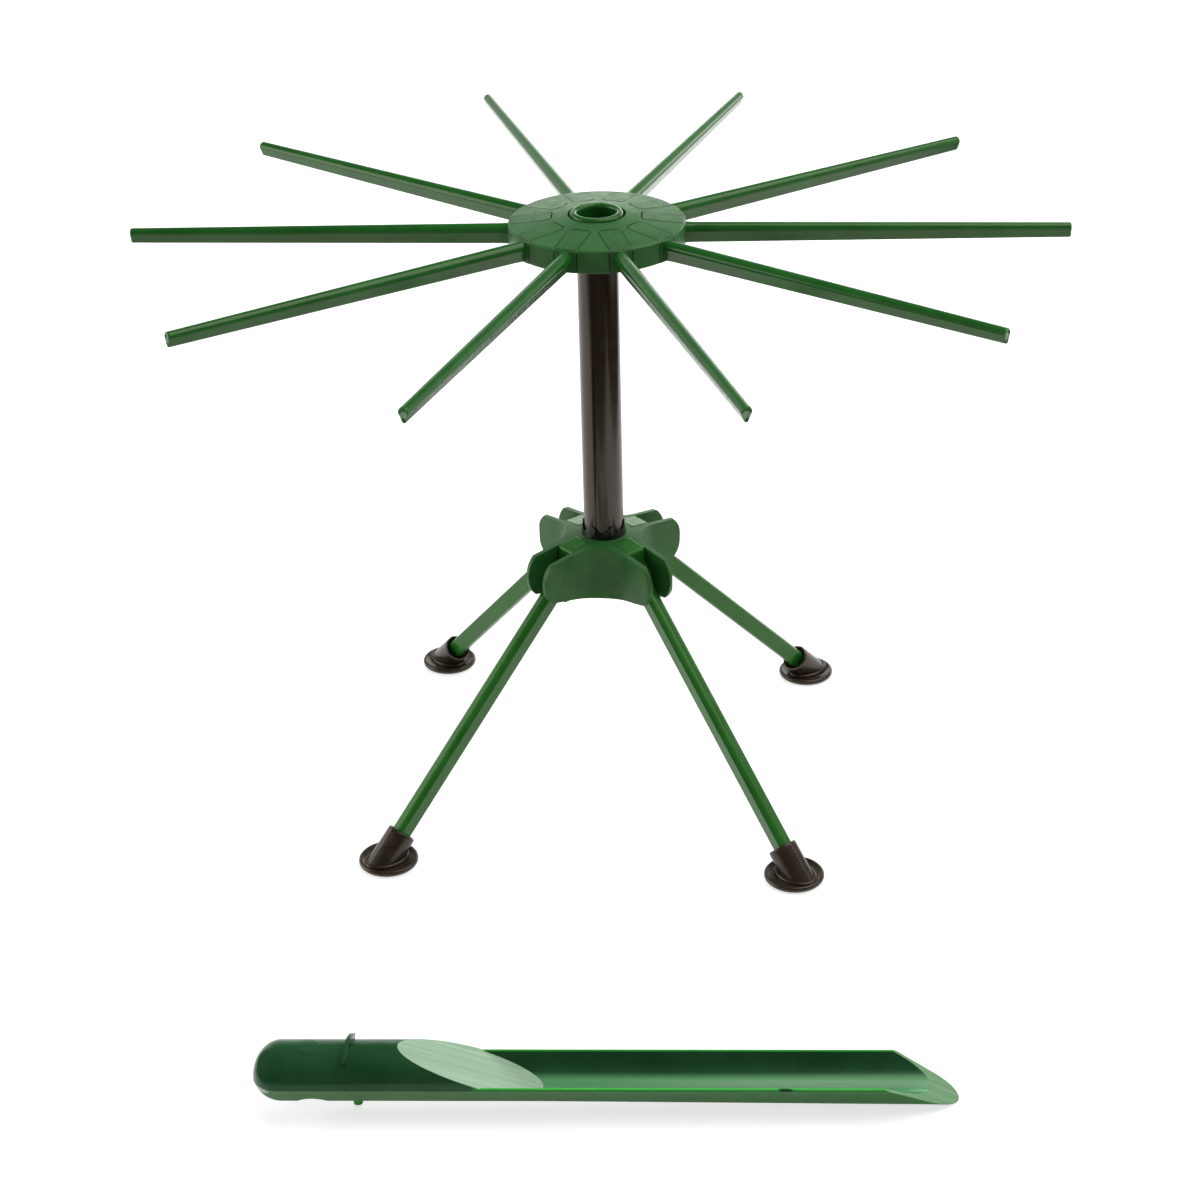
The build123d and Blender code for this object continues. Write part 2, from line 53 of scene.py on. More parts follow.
# %% [markdown]
# ## The camera
#
# The photograph looks down on the rack from the front, a little from the right, and was
# taken with a long lens. The camera's place could be judged by eye. It was worked out
# instead from the ends of the arms, which lie evenly on a circle, so that the drawing of
# the object and the photograph agree to a pixel or two.

# %% Where the camera stands and looks
CAMERA_PLACE = (0.121852, -1.120634, 0.69939)
LOOK_DOWN = math.radians(28.1519)
LOOK_LEFT = math.radians(6.3497)
CAMERA_ROLL = math.radians(1.4166)
PHOTO_WIDTH = 1200.0
FOCAL_PIXELS = 2539.13
SENSOR_WIDTH = 36.0

look = Vector((-math.sin(LOOK_LEFT) * math.cos(LOOK_DOWN),
               math.cos(LOOK_LEFT) * math.cos(LOOK_DOWN),
               -math.sin(LOOK_DOWN)))
level = Vector((math.cos(LOOK_LEFT), math.sin(LOOK_LEFT), 0.0))
above = level.cross(look)
side = level * math.cos(CAMERA_ROLL) - above * math.sin(CAMERA_ROLL)
top = level * math.sin(CAMERA_ROLL) + above * math.cos(CAMERA_ROLL)
print("camera looks along", [round(part, 3) for part in look])

# %% Place the camera
camera_data = bpy.data.cameras.new("camera")
camera_data.sensor_width = SENSOR_WIDTH
camera_data.lens = FOCAL_PIXELS / PHOTO_WIDTH * SENSOR_WIDTH
camera = bpy.data.objects.new("camera", camera_data)
turn = Matrix((side, top, -look)).transposed()
camera.matrix_world = Matrix.Translation(CAMERA_PLACE) @ turn.to_4x4()
scene.collection.objects.link(camera)
scene.camera = camera
print("lens", round(camera_data.lens, 2), "mm")

# %% [markdown]
# ## Materials as small graphs
#
# Every surface here is plastic, rubber or a little steel. A painted image could give the
# colour, but it would stretch and need unwrapping. A graph of noise and position nodes fits
# each piece at its true scale, so these helpers build such graphs one node at a time. Most
# of them return an output that the next one takes in.

# %% Helpers that add one node
def new_material(name):
    material = bpy.data.materials.new(name)
    material.use_nodes = True
    nodes = material.node_tree.nodes
    return material, nodes, material.node_tree.links, nodes["Principled BSDF"]


def add_node(nodes, kind, **settings):
    node = nodes.new(kind)
    for key, value in settings.items():
        setattr(node, key, value)
    return node


def math_node(nodes, links, operation, first, second=0.0, clamp=False):
    node = add_node(nodes, "ShaderNodeMath", operation=operation, use_clamp=clamp)
    for socket, value in zip(node.inputs, (first, second)):
        if isinstance(value, (int, float)):
            socket.default_value = value
        else:
            links.new(value, socket)
    return node.outputs[0]


def times_node(nodes, links, *values):
    product = values[0]
    for value in values[1:]:
        product = math_node(nodes, links, "MULTIPLY", product, value)
    return product


def vector_node(nodes, links, operation, first, second=None):
    node = add_node(nodes, "ShaderNodeVectorMath", operation=operation)
    for socket, value in zip(node.inputs, (first, second)):
        if isinstance(value, (tuple, Vector)):
            socket.default_value = value
        elif value is not None:
            links.new(value, socket)
    return node.outputs


MIX_SOCKETS = {"FLOAT": (2, 3, 0), "VECTOR": (4, 5, 1), "RGBA": (6, 7, 2)}


def mix_node(nodes, links, share, first, second, kind="RGBA"):
    first_socket, second_socket, output = MIX_SOCKETS[kind]
    node = add_node(nodes, "ShaderNodeMix", data_type=kind)
    for number, value in ((0, share), (first_socket, first), (second_socket, second)):
        socket = node.inputs[number]
        if isinstance(value, (int, float)):
            socket.default_value = value
        elif isinstance(value, tuple):
            socket.default_value = (*value, 1.0)
        else:
            links.new(value, socket)
    return node.outputs[output]


def fade_node(nodes, links, value, start, end, low=0.0, high=1.0):
    node = add_node(nodes, "ShaderNodeMapRange", interpolation_type="SMOOTHSTEP")
    for name, setting in (("From Min", start), ("From Max", end), ("To Min", low), ("To Max", high)):
        node.inputs[name].default_value = setting
    links.new(value, node.inputs["Value"])
    return node.outputs[0]


print("ways to mix:", len(MIX_SOCKETS))

# %% [markdown]
# ## Measuring a place on a piece
#
# A mark on a moulded piece sits at a place: at a height, at a distance from the middle, or
# round a point. Vertex groups could pick such places, but they follow the mesh. Position
# nodes measure the place itself, so a mark keeps its size on any mesh.

# %% Helpers that measure a place
def place_node(nodes):
    return add_node(nodes, "ShaderNodeTexCoord").outputs["Object"]


def parts_node(nodes, links, value):
    parts = add_node(nodes, "ShaderNodeSeparateXYZ")
    links.new(value, parts.inputs[0])
    return parts.outputs


def flat_point_node(nodes, links, first, second):
    point = add_node(nodes, "ShaderNodeCombineXYZ")
    links.new(first, point.inputs[0])
    links.new(second, point.inputs[1])
    return point.outputs[0]


def length_node(nodes, links, value):
    return vector_node(nodes, links, "LENGTH", value)["Value"]


def axis_distance_node(nodes, links):
    flat = vector_node(nodes, links, "MULTIPLY", place_node(nodes), (1.0, 1.0, 0.0))
    return length_node(nodes, links, flat["Vector"])


SPOT_CORE = 0.6


def spot_node(nodes, links, centre, stretch, radius):
    away = vector_node(nodes, links, "SUBTRACT", place_node(nodes), centre)
    scaled = vector_node(nodes, links, "MULTIPLY", away["Vector"], stretch)
    distance = length_node(nodes, links, scaled["Vector"])
    return fade_node(nodes, links, distance, radius, radius * SPOT_CORE)


print("a spot is full to", SPOT_CORE, "of its radius")

# %% [markdown]
# ## Faces and edges
#
# Moulded edges are never sharp. The solid parts could be cut with real roundings, but a
# Bevel node bends the shading normal near an edge just as well, and gives the thin bright
# lines on the rims of the slots. Where it bends the normal, an edge is near, so the same
# node also makes a mask that paints shade, highlights and glow onto edges.

# %% Helpers for faces and edges
BEVEL_SAMPLES = 6
FACING_START = 0.990
FACING_FULL = 0.996
RIM_START = 0.985
RIM_FULL = 0.90


def true_normal_node(nodes):
    return add_node(nodes, "ShaderNodeNewGeometry").outputs["True Normal"]


def edge_node(nodes, radius):
    edge = add_node(nodes, "ShaderNodeBevel", samples=BEVEL_SAMPLES)
    edge.inputs["Radius"].default_value = radius
    return edge.outputs["Normal"]


def facing_node(nodes, links, direction):
    dot = vector_node(nodes, links, "DOT_PRODUCT", true_normal_node(nodes), direction.normalized())
    return fade_node(nodes, links, dot["Value"], FACING_START, FACING_FULL)


def rim_node(nodes, links, radius, start=RIM_START, full=RIM_FULL):
    dot = vector_node(nodes, links, "DOT_PRODUCT", edge_node(nodes, radius), true_normal_node(nodes))
    return fade_node(nodes, links, dot["Value"], start, full)


print("a rim starts where the normal bends", round(math.degrees(math.acos(RIM_START))), "degrees")

# %% [markdown]
# ## Clouds, grain and colour
#
# Plastic from a mould is never quite even: its colour drifts as the melt flowed, and its
# shine drifts with it. One flat colour would look like paint. Soft noise between two near
# colours gives the drift, and fine noise through a Bump node gives the grain.

# %% Helpers for noise and colour
CLOUD_LOW = 0.35
CLOUD_HIGH = 0.65
SPREAD_LOW = 0.25
SPREAD_HIGH = 0.75
SMOOTH_DETAIL = 1.0
LOW_DETAIL = 2.0
SOME_DETAIL = 3.0
RICH_DETAIL = 4.0


def noise_node(nodes, links, size, detail=SOME_DETAIL, stretch=(1.0, 1.0, 1.0)):
    mapping = add_node(nodes, "ShaderNodeMapping")
    mapping.inputs["Scale"].default_value = stretch
    links.new(place_node(nodes), mapping.inputs["Vector"])
    return placed_noise_node(nodes, links, mapping.outputs["Vector"], size, detail)


def placed_noise_node(nodes, links, place, size, detail):
    noise = add_node(nodes, "ShaderNodeTexNoise")
    noise.inputs["Scale"].default_value = 1.0 / size
    noise.inputs["Detail"].default_value = detail
    links.new(place, noise.inputs["Vector"])
    return noise.outputs["Fac"]


def ramp_node(nodes, links, value, *stops):
    ramp = add_node(nodes, "ShaderNodeValToRGB")
    elements = ramp.color_ramp.elements
    while len(elements) < len(stops):
        elements.new(0.5)
    for element, (place, colour) in zip(elements, stops):
        element.position = place
        element.color = (*colour, 1.0)
    links.new(value, ramp.inputs["Fac"])
    return ramp.outputs["Color"]


def cloud_node(nodes, links, size, detail, colours):
    flow = noise_node(nodes, links, size, detail)
    return ramp_node(nodes, links, flow, (CLOUD_LOW, colours[0]), (CLOUD_HIGH, colours[1]))


def spread_node(nodes, links, value, low, high):
    return fade_node(nodes, links, value, SPREAD_LOW, SPREAD_HIGH, low, high)


def bump_node(nodes, links, height, depth, strength, before):
    bump = add_node(nodes, "ShaderNodeBump")
    bump.inputs["Strength"].default_value = strength
    bump.inputs["Distance"].default_value = depth
    links.new(height, bump.inputs["Height"])
    links.new(before, bump.inputs["Normal"])
    return bump.outputs["Normal"]


def rgb(red, green, blue):
    def channel(value):
        value /= 255.0
        return value / 12.92 if value <= 0.04045 else ((value + 0.055) / 1.055) ** 2.4
    return (channel(red), channel(green), channel(blue))


def dress(name, material):
    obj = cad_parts[name]
    obj.data.materials.clear()
    obj.data.materials.append(material)


print("middle grey is", round(rgb(128, 128, 128)[0], 3), "in linear light")

# %% [markdown]
# ## Two finishes of one green
#
# The hub, the base and the hinge blocks were moulded in a mould with a fine sparked finish,
# so they scatter the light softly. The bars come from polished steel and carry clear
# reflections. Each piece could have its own material, but both finishes are one plastic. So
# each is written as a set of values (colour, roughness and normal) that any green material
# can use, alone or mixed by a mask.

# %% Satin finish
SATIN_GREENS = (rgb(33, 86, 36), rgb(40, 96, 42))
SATIN_CLOUD = 14 * MM
SATIN_ROUGH = (0.38, 0.50)
SATIN_ROUGH_SIZE = 5 * MM
GRAIN_SIZE = 0.35 * MM
GRAIN_DEPTH = 0.02 * MM
GRAIN_STRENGTH = 0.5


def satin_values(nodes, links, edge):
    colour = cloud_node(nodes, links, SATIN_CLOUD, RICH_DETAIL, SATIN_GREENS)
    rough = spread_node(nodes, links, noise_node(nodes, links, SATIN_ROUGH_SIZE), *SATIN_ROUGH)
    grain = noise_node(nodes, links, GRAIN_SIZE, LOW_DETAIL)
    return colour, rough, bump_node(nodes, links, grain, GRAIN_DEPTH, GRAIN_STRENGTH, edge)


print("satin grain", round(GRAIN_SIZE / MM, 2), "mm")

# %% Gloss finish
GLOSS_GREENS = (rgb(20, 82, 24), rgb(28, 92, 31))
GLOSS_CLOUD = 22 * MM
GLOSS_ROUGH_SIZE = 3 * MM
GLOSS_ROUGH_RANGE = 0.08
WAVE_SIZE = 9 * MM
WAVE_DEPTH = 0.06 * MM
WAVE_STRENGTH = 0.1


def gloss_values(nodes, links, edge, roughness, greens):
    colour = cloud_node(nodes, links, GLOSS_CLOUD, SOME_DETAIL, greens)
    patches = noise_node(nodes, links, GLOSS_ROUGH_SIZE)
    rough = spread_node(nodes, links, patches, roughness, roughness + GLOSS_ROUGH_RANGE)
    wave = noise_node(nodes, links, WAVE_SIZE, SMOOTH_DETAIL)
    return colour, rough, bump_node(nodes, links, wave, WAVE_DEPTH, WAVE_STRENGTH, edge)


print("gloss waves", round(WAVE_SIZE / MM, 1), "mm")

# %% What every green shares
GREEN_SPECULAR = 0.34
GREEN_TINT = (1.0, 0.94, 0.76, 1.0)
EDGE_RADIUS = 0.35 * MM


def set_surface(links, shader, colour, rough, normal, specular=GREEN_SPECULAR, tint=GREEN_TINT):
    links.new(colour, shader.inputs["Base Color"])
    links.new(rough, shader.inputs["Roughness"])
    links.new(normal, shader.inputs["Normal"])
    shader.inputs["Specular IOR Level"].default_value = specular
    shader.inputs["Specular Tint"].default_value = tint


print("edges rounded to", round(EDGE_RADIUS / MM, 2), "mm")

# %% [markdown]
# ## Satin green for the hub and the base
#
# The hub's slots show as dark lines round the hinge blocks, and its rim catches a light
# line. The gaps are real in the solid parts but finer than the light can show from here, so
# the edge mask paints shade into them, and paints the rim's light line as a highlight. The
# top also has one small dark mark near the ring, left where the sprue was cut. It could be a
# modelled dimple, but it is about a millimetre wide, so a dark spot of painted shade is enough.

# %% Painted shade and highlight on the edges of the hub
# The gap colour is painted shade in the slot gaps, and the pale edge colour is a painted highlight along
# the rim's top edge.
GAP_PAINTED_SHADE = rgb(9, 28, 12)
GAP_SHADE_SHARE = 0.9
GAP_TOP_RADIUS = 0.7 * MM
GAP_TOP_BEND = (0.96, 0.84)
GAP_WALL_RADIUS = 1.1 * MM
GAP_WALL_BEND = (0.99, 0.93)
RIM_PAINTED_HIGHLIGHT = rgb(98, 158, 100)
HIGHLIGHT_SHARE = 0.9
HIGHLIGHT_RADIUS = 0.5 * MM
WALL_DEPTH = (0.9 * MM, 0.6 * MM)
CORNER_DEPTH = (0.9 * MM, 0.4 * MM)
RIM_BELT = 0.1 * MM

hub_points = [vertex.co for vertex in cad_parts["hub"].data.vertices]
HUB_RADIUS = max(point.xy.length for point in hub_points)
RIM_TOP = max(point.z for point in hub_points if point.xy.length > HUB_RADIUS - RIM_BELT)


def painted_hub_edges(nodes, links, colour):
    height = parts_node(nodes, links, place_node(nodes))["Z"]
    distance = axis_distance_node(nodes, links)
    outer = fade_node(nodes, links, distance, HUB_RADIUS - WALL_DEPTH[0], HUB_RADIUS - WALL_DEPTH[1])
    near_top = fade_node(nodes, links, height, RIM_TOP - CORNER_DEPTH[0], RIM_TOP - CORNER_DEPTH[1])
    corner = times_node(nodes, links, outer, near_top)
    wall = math_node(nodes, links, "SUBTRACT", outer, near_top, clamp=True)
    on_top = rim_node(nodes, links, GAP_TOP_RADIUS, *GAP_TOP_BEND)
    on_wall = times_node(nodes, links, rim_node(nodes, links, GAP_WALL_RADIUS, *GAP_WALL_BEND), wall)
    # Masks for painted shade in the gaps, and for a painted highlight on the rim's top edge.
    dark = math_node(nodes, links, "MAXIMUM", on_top, on_wall)
    light = times_node(nodes, links, rim_node(nodes, links, HIGHLIGHT_RADIUS), corner)
    dark = math_node(nodes, links, "SUBTRACT", dark, light, clamp=True)
    colour = mix_node(nodes, links, times_node(nodes, links, dark, GAP_SHADE_SHARE), colour, GAP_PAINTED_SHADE)
    return mix_node(nodes, links, times_node(nodes, links, light, HIGHLIGHT_SHARE), colour, RIM_PAINTED_HIGHLIGHT)


print("hub radius", round(HUB_RADIUS / MM, 1), "mm, rim at", round(RIM_TOP / MM, 1), "mm")

# %% Dress the hub and the base
# The sprue mark is a dark spot of painted shade standing in for its small hollow.
SPRUE_PLACE = (-15.7 * MM, -14.5 * MM, 299.3 * MM)
SPRUE_STRETCH = (1.0, 1.0, 0.3)
SPRUE_RADIUS = 0.7 * MM
SPRUE_SHADE = rgb(12, 30, 14)


def make_base_green(name):
    material, nodes, links, shader = new_material(name)
    set_surface(links, shader, *satin_values(nodes, links, edge_node(nodes, EDGE_RADIUS)))
    return material


def make_hub_green(name):
    material, nodes, links, shader = new_material(name)
    colour, rough, normal = satin_values(nodes, links, edge_node(nodes, EDGE_RADIUS))
    colour = painted_hub_edges(nodes, links, colour)
    mark = spot_node(nodes, links, SPRUE_PLACE, SPRUE_STRETCH, SPRUE_RADIUS)
    colour = mix_node(nodes, links, mark, colour, SPRUE_SHADE)
    set_surface(links, shader, colour, rough, normal)
    return material


dress("hub", make_hub_green("hub_green_plastic"))
dress("base", make_base_green("base_green_plastic"))
print("satin green on hub and base")

# %% [markdown]
# ## Green for the arms
#
# Each arm ends in a hinge block that fills a slot of the hub. The block has the hub's satin
# finish with drag lines along it, from the tool that cut the mould, and the hub's painted
# shade and highlight on its edges. The bar outside the hub is polished, and its cut end is
# paler, with a painted highlight in its ragged middle. Three materials on each arm could do
# this, but the distance from the hub's axis tells the three places apart, so one material
# serves all ten arms.

# %% Places along an arm
BLOCK_END = 41.6 * MM
BLOCK_FADE = 0.2 * MM
ARM_END = 219.3 * MM
ARM_END_FADE = 0.3 * MM
ARM_STEP = math.radians(36.0)
FIRST_ARM = math.radians(3.3)

arm_points = [vertex.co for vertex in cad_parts["arm_01"].data.vertices]
end_heights = [point.z for point in arm_points if point.xy.length > ARM_END]
END_Z = (min(end_heights) + max(end_heights)) / 2.0


def across_node(nodes, links):
    place = parts_node(nodes, links, place_node(nodes))
    angle = math_node(nodes, links, "ARCTAN2", place["Y"], place["X"])
    wrap = add_node(nodes, "ShaderNodeMath", operation="WRAP")
    links.new(math_node(nodes, links, "SUBTRACT", angle, FIRST_ARM), wrap.inputs[0])
    wrap.inputs[1].default_value = ARM_STEP / 2.0
    wrap.inputs[2].default_value = -ARM_STEP / 2.0
    return times_node(nodes, links, wrap.outputs[0], axis_distance_node(nodes, links))


print("middle of an arm's end at", round(END_Z / MM, 1), "mm")

# %% Drag lines, and the painted highlight on the cut end
DRAG_WIDTH = 0.9 * MM
DRAG_STRETCH = 0.03
DRAG_LEVEL = (0.46, 0.36)
DRAG_SHARE = 0.8
DRAG_DARK = rgb(20, 58, 24)
DRAG_DEPTH = 0.15 * MM
DRAG_STRENGTH = 0.5
END_GREEN = rgb(44, 112, 50)
END_HIGHLIGHT_PALE = rgb(176, 200, 174)
END_FADE = (2.9 * MM, 1.9 * MM)
RAGGED_SIZE = 1.5 * MM
RAGGED_REACH = 1.6 * MM


def drag_node(nodes, links):
    along = times_node(nodes, links, axis_distance_node(nodes, links), DRAG_STRETCH)
    place = flat_point_node(nodes, links, across_node(nodes, links), along)
    return placed_noise_node(nodes, links, place, DRAG_WIDTH, SOME_DETAIL)


# The pale middle of an arm's end is a painted highlight, ragged at its edge.
def end_highlight_colour(nodes, links):
    height = parts_node(nodes, links, place_node(nodes))["Z"]
    above_middle = math_node(nodes, links, "SUBTRACT", height, END_Z)
    place = flat_point_node(nodes, links, across_node(nodes, links), above_middle)
    ragged = times_node(nodes, links, noise_node(nodes, links, RAGGED_SIZE), RAGGED_REACH)
    distance = math_node(nodes, links, "ADD", length_node(nodes, links, place), ragged)
    return mix_node(nodes, links, fade_node(nodes, links, distance, *END_FADE), END_GREEN, END_HIGHLIGHT_PALE)


print("drag lines", round(DRAG_WIDTH / MM, 1), "mm apart")

# %% Dress the arms
ARM_ROUGHNESS = 0.15


def make_arm_green(name):
    material, nodes, links, shader = new_material(name)
    edge = edge_node(nodes, EDGE_RADIUS)
    distance = axis_distance_node(nodes, links)
    outside = fade_node(nodes, links, distance, BLOCK_END - BLOCK_FADE, BLOCK_END + BLOCK_FADE)
    satin = satin_values(nodes, links, edge)
    gloss = gloss_values(nodes, links, edge, ARM_ROUGHNESS, GLOSS_GREENS)
    drag = drag_node(nodes, links)
    scores = fade_node(nodes, links, drag, *DRAG_LEVEL, 0.0, DRAG_SHARE)
    block = painted_hub_edges(nodes, links, mix_node(nodes, links, scores, satin[0], DRAG_DARK))
    colour = mix_node(nodes, links, outside, block, gloss[0])
    at_end = fade_node(nodes, links, distance, ARM_END, ARM_END + ARM_END_FADE)
    colour = mix_node(nodes, links, at_end, colour, end_highlight_colour(nodes, links))
    rough = mix_node(nodes, links, outside, satin[1], gloss[1], "FLOAT")
    dragged = bump_node(nodes, links, drag, DRAG_DEPTH, DRAG_STRENGTH, satin[2])
    normal = mix_node(nodes, links, outside, dragged, gloss[2], "VECTOR")
    set_surface(links, shader, colour, rough, normal)
    return material


arm_names = [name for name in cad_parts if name.startswith("arm_") and name != "arm_pins"]
arm_green = make_arm_green("arm_green_plastic")
for name in arm_names:
    dress(name, arm_green)
print("green on", len(arm_names), "arms")

# %% [markdown]
# ## Glossy green for the legs and the ring
#
# The legs and the hub's ring are polished all over. Both could share the arms' material, but
# the legs are a yellower green, and show clear flat sides, so their edges need the Bevel
# node most: with a wide radius it draws the thin light line between two sides.

# %% Dress the legs and the ring
LEG_GREENS = (rgb(27, 90, 26), rgb(35, 100, 33))
LEG_TINT = (0.80, 1.0, 0.55, 1.0)
LEG_EDGE_RADIUS = 1.2 * MM
LEG_ROUGHNESS = 0.20
RING_ROUGHNESS = 0.16


def make_gloss_green(name, roughness, greens, edge_radius, tint):
    material, nodes, links, shader = new_material(name)
    values = gloss_values(nodes, links, edge_node(nodes, edge_radius), roughness, greens)
    set_surface(links, shader, *values, tint=tint)
    return material


corner_names = ("back_right", "back_left", "front_left", "front_right")
leg_green = make_gloss_green("leg_green_plastic", LEG_ROUGHNESS, LEG_GREENS, LEG_EDGE_RADIUS, LEG_TINT)
for corner in corner_names:
    dress(f"leg_{corner}", leg_green)
ring_green = make_gloss_green("ring_green_plastic", RING_ROUGHNESS, GLOSS_GREENS, EDGE_RADIUS, GREEN_TINT)
dress("hub_ring", ring_green)
print("green on", len(corner_names), "legs and the ring")

# %% [markdown]
# ## Where the wand lies
#
# The wand lies a little turned, and leans from its nub down to its tip. Its marks run along
# it, so they need a place measured along, across and up from the wand, not from the table. A
# child object could carry that frame. A Mapping node does the same inside the material.

# %% The wand's own frame
WAND_TURN = math.radians(4.7)
WAND_LEAN = math.radians(0.56)
WAND_MIDDLE = (0.0, -274.0 * MM, 16.0 * MM)
WAND_RIM_Z = 1.1 * MM
SIDE_Z = 0.0
OPEN_START = -30.0 * MM
TROUGH_RADIUS = 13.0 * MM
TROUGH_AXIS_Z = 5.0 * MM


def wand_place_node(nodes, links, stretch=(1.0, 1.0, 1.0)):
    mapping = add_node(nodes, "ShaderNodeMapping", vector_type="TEXTURE")
    mapping.inputs["Location"].default_value = WAND_MIDDLE
    mapping.inputs["Rotation"].default_value = (0.0, WAND_LEAN, WAND_TURN)
    mapping.inputs["Scale"].default_value = stretch
    links.new(place_node(nodes), mapping.inputs["Vector"])
    return mapping.outputs["Vector"]


print("rim", round((WAND_MIDDLE[2] + WAND_RIM_Z) / MM, 1), "mm above the table")

# %% [markdown]
# ## Inside and outside of the wand
#
# Its plastic lets a little light through: the thin rims glow bright green, the floor of the
# trough is paler than its walls, and the outer band below the rim is in between. Light that
# passes through a wall this thin is slow to trace, so the glow is painted where it falls:
# the distance from the trough's axis parts inside from outside, and the height does the rest.

# %% The trough's floor
# The paler trough floor and the glow line along it are painted light.
TROUGH_FLOOR_GLOW = rgb(90, 152, 100)
FLOOR_HEIGHT = (-5.7 * MM, -7.7 * MM)
TROUGH_GLOW = rgb(128, 166, 132)
GLOW_SIDE = 1.5 * MM
GLOW_WIDTH = (3.0 * MM, 0.5 * MM)
GLOW_START = (10 * MM, 90 * MM)
GLOW_SHARE = 0.8


def trough_floor(nodes, links, colour, inside, wand):
    low = fade_node(nodes, links, wand["Z"], *FLOOR_HEIGHT)
    on_floor = times_node(nodes, links, low, inside)
    colour = mix_node(nodes, links, on_floor, colour, TROUGH_FLOOR_GLOW)
    away = math_node(nodes, links, "SUBTRACT", wand["Y"], GLOW_SIDE)
    away = math_node(nodes, links, "ABSOLUTE", away)
    glow = fade_node(nodes, links, away, *GLOW_WIDTH)
    begun = fade_node(nodes, links, wand["X"], *GLOW_START)
    glow = times_node(nodes, links, glow, begun, on_floor, GLOW_SHARE)
    return mix_node(nodes, links, glow, colour, TROUGH_GLOW)


print("glow starts", round((GLOW_START[0] - OPEN_START) / MM), "mm into the trough")

# %% Painted glow on the rims and the outer band
SKIN_DEPTH = (0.1 * MM, 0.3 * MM)
OPEN_FADE = 2 * MM
# The outer band's paler green is painted light, and the soft green under the rim and the bright rim lines
# are painted glow.
BAND_GLOW_GREEN = rgb(52, 112, 50)
BAND_FADE = 0.3 * MM
SOFT_GLOW_GREEN = rgb(44, 124, 48)
SOFT_DROP = (2.6 * MM, 1.0 * MM)
RIM_GLOW_NEAR = rgb(64, 178, 66)
RIM_GLOW_FAR = rgb(38, 138, 44)
RIM_RADIUS = 0.4 * MM
RIM_DROP = (0.4 * MM, 0.2 * MM)
NEAR_FADE = 2 * MM
UNEVEN_SIZE = 7 * MM
UNEVEN_RANGE = (0.30, 0.50, 0.75, 1.0)


def outside_node(nodes, links, wand):
    height = math_node(nodes, links, "SUBTRACT", wand["Z"], TROUGH_AXIS_Z)
    distance = length_node(nodes, links, flat_point_node(nodes, links, wand["Y"], height))
    return fade_node(nodes, links, distance, TROUGH_RADIUS + SKIN_DEPTH[0], TROUGH_RADIUS + SKIN_DEPTH[1])


def rim_glow_lines(nodes, links, colour, open_part, wand):
    at_top = fade_node(nodes, links, wand["Z"], WAND_RIM_Z - RIM_DROP[0], WAND_RIM_Z - RIM_DROP[1])
    line = math_node(nodes, links, "MAXIMUM", rim_node(nodes, links, RIM_RADIUS), at_top)
    uneven = fade_node(nodes, links, noise_node(nodes, links, UNEVEN_SIZE), *UNEVEN_RANGE)
    line = times_node(nodes, links, line, uneven, open_part)
    near = fade_node(nodes, links, wand["Y"], NEAR_FADE, -NEAR_FADE)
    return mix_node(nodes, links, line, colour, mix_node(nodes, links, near, RIM_GLOW_FAR, RIM_GLOW_NEAR))


def wand_sides(nodes, links, colour):
    wand = parts_node(nodes, links, wand_place_node(nodes, links))
    open_part = fade_node(nodes, links, wand["X"], OPEN_START - OPEN_FADE, OPEN_START + OPEN_FADE)
    outside = outside_node(nodes, links, wand)
    inside = math_node(nodes, links, "SUBTRACT", open_part, outside, clamp=True)
    colour = trough_floor(nodes, links, colour, inside, wand)
    band = fade_node(nodes, links, wand["Z"], SIDE_Z, SIDE_Z - BAND_FADE)
    band = times_node(nodes, links, band, outside)
    colour = mix_node(nodes, links, band, colour, BAND_GLOW_GREEN)
    soft = fade_node(nodes, links, wand["Z"], WAND_RIM_Z - SOFT_DROP[0], WAND_RIM_Z - SOFT_DROP[1])
    soft = times_node(nodes, links, soft, outside, open_part)
    colour = mix_node(nodes, links, soft, colour, SOFT_GLOW_GREEN)
    return rim_glow_lines(nodes, links, colour, open_part, wand), band


print("bright line", round(RIM_RADIUS / MM, 1), "mm wide")

# %% [markdown]
# ## The wand's cut faces and small marks
#
# Two slanted cut faces, the ramp where the trough starts and the tip, are paler than the
# rest with a painted reflection of the bright backdrop, with faint lines along the wand and
# an edge of painted green glow. A mask could follow their outline, but the way each one
# faces picks it out, so one dot product does it. A small dark flaw sits on the near rim, and
# the nub under the handle is lit through, which is painted as a green glow. Both are spots.

# %% Painted reflection on the cut faces, a flaw and a painted glow
RAMP_FACING = Vector((0.340, 0.028, 0.940))
RAMP_REFLECTION_PALES = (rgb(146, 178, 148), rgb(160, 190, 162), rgb(176, 203, 178))
TIP_FACING = Vector((0.468, -0.062, 0.881))
TIP_REFLECTION_PALES = (rgb(92, 134, 94), rgb(112, 150, 112), rgb(132, 166, 130))
LINE_STOPS = (0.30, 0.48, 0.66)
LINE_WIDTH = 1.4 * MM
LINE_STRETCH = (60.0, 1.0, 60.0)
MOTTLE_SIZE = 4 * MM
MOTTLE_DETAIL = 5.0
MOTTLE_SHARE = 0.6
FLAW_PLACE = (101.4 * MM, -279.2 * MM, 16.0 * MM)
FLAW_STRETCH = (0.3, 1.0, 1.0)
FLAW_RADIUS = 1.2 * MM
FLAW_DARK = rgb(14, 52, 24)
NUB_PLACE = (-80.6 * MM, -285.0 * MM, 1.5 * MM)
NUB_RADIUS = 4 * MM
ROUND_SPOT = (1.0, 1.0, 1.0)


